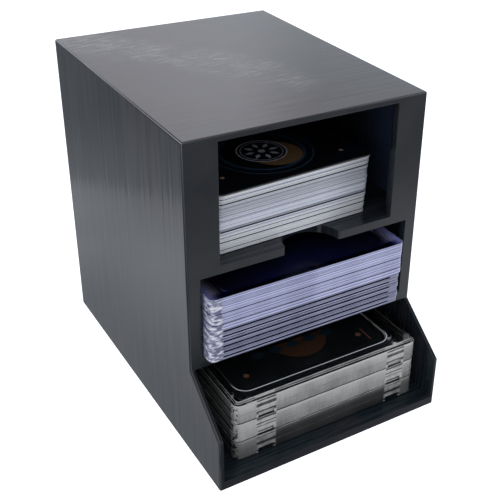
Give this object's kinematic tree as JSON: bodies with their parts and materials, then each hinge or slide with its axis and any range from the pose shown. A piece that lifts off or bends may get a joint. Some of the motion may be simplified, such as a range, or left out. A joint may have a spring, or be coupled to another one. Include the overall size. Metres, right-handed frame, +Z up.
{
  "type": "card storage box",
  "caption": "Upright open-front box with three card shelves, a thumb notch and an open tray base, filled with a deck, rigid card loaders and clear two-part card cases.",
  "frame": {"origin": "on the resting plane under the middle of the housing, midway between the tray's front edge and the back face", "axes": "+Z up, +Y to the closed back, the open front faces -Y, +X to the right as seen from the front"},
  "size_m": [0.09, 0.13, 0.118],
  "materials": {
    "charcoal_print": "satin, printed in fine layers",
    "white_card_edge": "cut card edges",
    "black_card_face": "coated black card",
    "lavender_vinyl": "clear, lavender tinted vinyl",
    "navy_card": "coated dark blue card",
    "clear_acrylic": "clear polished acrylic",
    "black_card": "coated black card"
  },
  "bodies": {
    "housing": {"housing": "charcoal_print"},
    "card_deck": {"deck_packet_01": "white_card_edge", "deck_packet_02": "white_card_edge", "deck_packet_03": "white_card_edge", "deck_packet_04": "white_card_edge", "deck_packet_05": "white_card_edge", "deck_packet_06": "white_card_edge", "deck_packet_07": "white_card_edge", "deck_packet_08": "white_card_edge", "deck_packet_09": "white_card_edge", "deck_packet_10": "white_card_edge", "deck_packet_11": "white_card_edge", "deck_packet_12": "white_card_edge"},
    "deck_top_card": {"deck_top_card": "black_card_face"},
    "toploader_01": {"toploader_01": "lavender_vinyl"},
    "toploader_card_01": {"toploader_card_01": "navy_card"},
    "toploader_02": {"toploader_02": "lavender_vinyl"},
    "toploader_card_02": {"toploader_card_02": "navy_card"},
    "toploader_03": {"toploader_03": "lavender_vinyl"},
    "toploader_card_03": {"toploader_card_03": "navy_card"},
    "toploader_04": {"toploader_04": "lavender_vinyl"},
    "toploader_card_04": {"toploader_card_04": "navy_card"},
    "toploader_05": {"toploader_05": "lavender_vinyl"},
    "toploader_card_05": {"toploader_card_05": "navy_card"},
    "toploader_06": {"toploader_06": "lavender_vinyl"},
    "toploader_card_06": {"toploader_card_06": "navy_card"},
    "toploader_07": {"toploader_07": "lavender_vinyl"},
    "toploader_card_07": {"toploader_card_07": "navy_card"},
    "toploader_08": {"toploader_08": "lavender_vinyl"},
    "toploader_card_08": {"toploader_card_08": "navy_card"},
    "toploader_09": {"toploader_09": "lavender_vinyl"},
    "toploader_card_09": {"toploader_card_09": "navy_card"},
    "toploader_10": {"toploader_10": "lavender_vinyl"},
    "toploader_card_10": {"toploader_card_10": "navy_card"},
    "toploader_11": {"toploader_11": "lavender_vinyl"},
    "toploader_card_11": {"toploader_card_11": "navy_card"},
    "toploader_12": {"toploader_12": "lavender_vinyl"},
    "toploader_card_12": {"toploader_card_12": "navy_card"},
    "case_bottom": {"case_base_1": "clear_acrylic", "case_card_1": "black_card", "case_lid_1": "clear_acrylic"},
    "case_middle": {"case_base_2": "clear_acrylic", "case_card_2": "black_card", "case_lid_2": "clear_acrylic"},
    "case_top": {"case_base_3": "clear_acrylic", "case_card_3": "black_card"},
    "case_top_lid": {"case_lid_3": "clear_acrylic"}
  },
  "joints": [
    {"name": "deck_slide", "type": "slide", "parent": "housing", "child": "card_deck", "axis": [0.0436, -0.999, 0], "range_m": [0, 0.097]},
    {"name": "deck_top_card_slide", "type": "slide", "parent": "card_deck", "child": "deck_top_card", "axis": [0.0541, -0.9985, 0], "range_m": [0, 0.097]},
    {"name": "toploader_01_slide", "type": "slide", "parent": "housing", "child": "toploader_01", "axis": [0, -1, 0], "range_m": [0, 0.1]},
    {"name": "toploader_card_01_slide", "type": "slide", "parent": "toploader_01", "child": "toploader_card_01", "axis": [0, -1, 0], "range_m": [0, 0.099]},
    {"name": "toploader_02_slide", "type": "slide", "parent": "housing", "child": "toploader_02", "axis": [0, -1, 0], "range_m": [0, 0.1]},
    {"name": "toploader_card_02_slide", "type": "slide", "parent": "toploader_02", "child": "toploader_card_02", "axis": [0, -1, 0], "range_m": [0, 0.099]},
    {"name": "toploader_03_slide", "type": "slide", "parent": "housing", "child": "toploader_03", "axis": [0, -1, 0], "range_m": [0, 0.1]},
    {"name": "toploader_card_03_slide", "type": "slide", "parent": "toploader_03", "child": "toploader_card_03", "axis": [0, -1, 0], "range_m": [0, 0.099]},
    {"name": "toploader_04_slide", "type": "slide", "parent": "housing", "child": "toploader_04", "axis": [0, -1, 0], "range_m": [0, 0.1]},
    {"name": "toploader_card_04_slide", "type": "slide", "parent": "toploader_04", "child": "toploader_card_04", "axis": [0, -1, 0], "range_m": [0, 0.099]},
    {"name": "toploader_05_slide", "type": "slide", "parent": "housing", "child": "toploader_05", "axis": [0, -1, 0], "range_m": [0, 0.1]},
    {"name": "toploader_card_05_slide", "type": "slide", "parent": "toploader_05", "child": "toploader_card_05", "axis": [0, -1, 0], "range_m": [0, 0.099]},
    {"name": "toploader_06_slide", "type": "slide", "parent": "housing", "child": "toploader_06", "axis": [0, -1, 0], "range_m": [0, 0.1]},
    {"name": "toploader_card_06_slide", "type": "slide", "parent": "toploader_06", "child": "toploader_card_06", "axis": [0, -1, 0], "range_m": [0, 0.099]},
    {"name": "toploader_07_slide", "type": "slide", "parent": "housing", "child": "toploader_07", "axis": [0, -1, 0], "range_m": [0, 0.1]},
    {"name": "toploader_card_07_slide", "type": "slide", "parent": "toploader_07", "child": "toploader_card_07", "axis": [0, 1, 0], "range_m": [0, 0.019]},
    {"name": "toploader_08_slide", "type": "slide", "parent": "housing", "child": "toploader_08", "axis": [0, -1, 0], "range_m": [0, 0.1]},
    {"name": "toploader_card_08_slide", "type": "slide", "parent": "toploader_08", "child": "toploader_card_08", "axis": [0, 1, 0], "range_m": [0, 0.019]},
    {"name": "toploader_09_slide", "type": "slide", "parent": "housing", "child": "toploader_09", "axis": [0, -1, 0], "range_m": [0, 0.1]},
    {"name": "toploader_card_09_slide", "type": "slide", "parent": "toploader_09", "child": "toploader_card_09", "axis": [0, 1, 0], "range_m": [0, 0.019]},
    {"name": "toploader_10_slide", "type": "slide", "parent": "housing", "child": "toploader_10", "axis": [0, -1, 0], "range_m": [0, 0.1]},
    {"name": "toploader_card_10_slide", "type": "slide", "parent": "toploader_10", "child": "toploader_card_10", "axis": [0, 1, 0], "range_m": [0, 0.019]},
    {"name": "toploader_11_slide", "type": "slide", "parent": "housing", "child": "toploader_11", "axis": [0, -1, 0], "range_m": [0, 0.1]},
    {"name": "toploader_card_11_slide", "type": "slide", "parent": "toploader_11", "child": "toploader_card_11", "axis": [0, 1, 0], "range_m": [0, 0.019]},
    {"name": "toploader_12_slide", "type": "slide", "parent": "housing", "child": "toploader_12", "axis": [0, -1, 0], "range_m": [0, 0.1]},
    {"name": "toploader_card_12_slide", "type": "slide", "parent": "toploader_12", "child": "toploader_card_12", "axis": [0, 1, 0], "range_m": [0, 0.019]},
    {"name": "case_stack_slide", "type": "slide", "parent": "housing", "child": "case_bottom", "axis": [0, -1, 0], "range_m": [0, 0.105]},
    {"name": "case_middle_lift", "type": "slide", "parent": "case_bottom", "child": "case_middle", "axis": [0, 0, 1], "range_m": [0, 0.002]},
    {"name": "case_top_lift", "type": "slide", "parent": "case_middle", "child": "case_top", "axis": [0, 0, 1], "range_m": [0, 0.002]},
    {"name": "case_top_lid_lift", "type": "slide", "parent": "case_top", "child": "case_top_lid", "axis": [0, 0, 1], "range_m": [0, 0.0035]}
  ]
}
